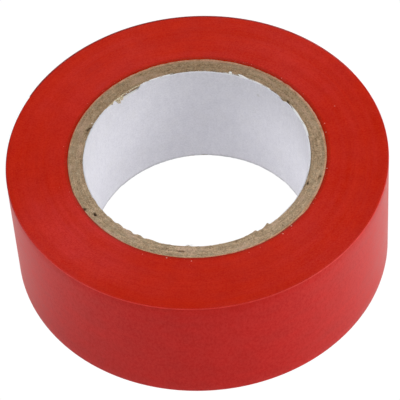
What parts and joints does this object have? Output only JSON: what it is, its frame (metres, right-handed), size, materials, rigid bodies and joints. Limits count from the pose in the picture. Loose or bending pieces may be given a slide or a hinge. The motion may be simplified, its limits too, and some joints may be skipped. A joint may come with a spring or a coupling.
{
  "type": "electrical tape roll",
  "caption": "Roll of red PVC electrical tape lying flat on a spirally wound paperboard core with a white-lined bore; its free end lifts and peels away, and the peel line travels round the roll.",
  "frame": {"origin": "centre of the bottom face, on the roll's axis", "axes": "+Z along the roll's axis, up from the face the roll rests on; +X to the right and +Y to the rear, with the tape's free end on the +Y side at 150 degrees from +X"},
  "size_m": [0.0538, 0.0539, 0.019],
  "materials": {
    "pvc_tape": "satin calendered PVC with a very fine grain; the wound edges read as fine concentric lines with an anisotropic sheen",
    "core_board": "matt grey-brown recycled chipboard, cut edge, speckled with light fibres and dark flecks",
    "core_kraft": "matt orange-tan kraft paper, cut edge",
    "liner_paper": "matt white paper with a ragged cut edge and loose fibres"
  },
  "bodies": {
    "roll": {"core_liner_paper": "liner_paper", "core_board_ply_1": "core_board", "core_board_ply_2": "core_board", "core_board_ply_3": "core_board", "core_board_ply_4": "core_board", "core_board_ply_5": "core_board", "core_kraft_ply": "core_kraft", "tape_wound_turns": "pvc_tape"},
    "outer_turn": {"tape_outer_turn": "pvc_tape"},
    "strip_1": {"tape_end_strip_1": "pvc_tape"},
    "strip_2": {"tape_end_strip_2": "pvc_tape"},
    "strip_3": {"tape_end_strip_3": "pvc_tape"},
    "strip_4": {"tape_end_strip_4": "pvc_tape"},
    "strip_5": {"tape_end_strip_5": "pvc_tape"},
    "strip_6": {"tape_end_strip_6": "pvc_tape"},
    "strip_7": {"tape_end_strip_7": "pvc_tape"},
    "strip_8": {"tape_end_strip_8": "pvc_tape"},
    "strip_9": {"tape_end_strip_9": "pvc_tape"},
    "strip_10": {"tape_end_strip_10": "pvc_tape"},
    "strip_11": {"tape_end_strip_11": "pvc_tape"},
    "strip_12": {"tape_end_strip_12": "pvc_tape"},
    "end_tab": {"tape_end_tab": "pvc_tape"}
  },
  "joints": [
    {"name": "unwind", "type": "hinge", "parent": "roll", "child": "outer_turn", "pos_m": [0, 0, 0.0095], "axis": [0, 0, -1], "continuous": true},
    {"name": "peel_1", "type": "hinge", "parent": "outer_turn", "child": "strip_1", "pos_m": [0.02335, 0.01348, 0.0095], "axis": [0, 0, -1], "range_deg": [0, 30]},
    {"name": "peel_2", "type": "hinge", "parent": "strip_1", "child": "strip_2", "pos_m": [0.02095, 0.01697, 0.0095], "axis": [0, 0, -1], "range_deg": [0, 27]},
    {"name": "peel_3", "type": "hinge", "parent": "strip_2", "child": "strip_3", "pos_m": [0.01804, 0.02004, 0.0095], "axis": [0, 0, -1], "range_deg": [0, 21]},
    {"name": "peel_4", "type": "hinge", "parent": "strip_3", "child": "strip_4", "pos_m": [0.01469, 0.02262, 0.0095], "axis": [0, 0, -1], "range_deg": [0, 15]},
    {"name": "peel_5", "type": "hinge", "parent": "strip_4", "child": "strip_5", "pos_m": [0.01097, 0.02464, 0.0095], "axis": [0, 0, -1], "range_deg": [0, 12]},
    {"name": "peel_6", "type": "hinge", "parent": "strip_5", "child": "strip_6", "pos_m": [0.00698, 0.02606, 0.0095], "axis": [0, 0, -1], "range_deg": [0, 9]},
    {"name": "peel_7", "type": "hinge", "parent": "strip_6", "child": "strip_7", "pos_m": [0.00282, 0.02683, 0.0095], "axis": [0, 0, -1], "range_deg": [0, 9]},
    {"name": "peel_8", "type": "hinge", "parent": "strip_7", "child": "strip_8", "pos_m": [-0.00141, 0.02694, 0.0095], "axis": [0, 0, -1], "range_deg": [0, 9]},
    {"name": "peel_9", "type": "hinge", "parent": "strip_8", "child": "strip_9", "pos_m": [-0.00561, 0.02639, 0.0095], "axis": [0, 0, -1], "range_deg": [0, 9]},
    {"name": "peel_10", "type": "hinge", "parent": "strip_9", "child": "strip_10", "pos_m": [-0.00967, 0.02519, 0.0095], "axis": [0, 0, -1], "range_deg": [0, 9]},
    {"name": "peel_11", "type": "hinge", "parent": "strip_10", "child": "strip_11", "pos_m": [-0.0135, 0.02337, 0.0095], "axis": [0, 0, -1], "range_deg": [0, 9]},
    {"name": "peel_12", "type": "hinge", "parent": "strip_11", "child": "strip_12", "pos_m": [-0.01699, 0.02098, 0.0095], "axis": [0, 0, -1], "range_deg": [0, 9]},
    {"name": "tab_lift", "type": "hinge", "parent": "strip_12", "child": "end_tab", "pos_m": [-0.02006, 0.01806, 0.0095], "axis": [0, 0, -1], "range_deg": [0, 90]}
  ],
  "couplings": [
    {"joint": "peel_2", "follows": "peel_1", "ratio": 0.9},
    {"joint": "peel_3", "follows": "peel_1", "ratio": 0.7},
    {"joint": "peel_4", "follows": "peel_1", "ratio": 0.5},
    {"joint": "peel_5", "follows": "peel_1", "ratio": 0.4},
    {"joint": "peel_6", "follows": "peel_1", "ratio": 0.3},
    {"joint": "peel_7", "follows": "peel_1", "ratio": 0.3},
    {"joint": "peel_8", "follows": "peel_1", "ratio": 0.3},
    {"joint": "peel_9", "follows": "peel_1", "ratio": 0.3},
    {"joint": "peel_10", "follows": "peel_1", "ratio": 0.3},
    {"joint": "peel_11", "follows": "peel_1", "ratio": 0.3},
    {"joint": "peel_12", "follows": "peel_1", "ratio": 0.3}
  ]
}
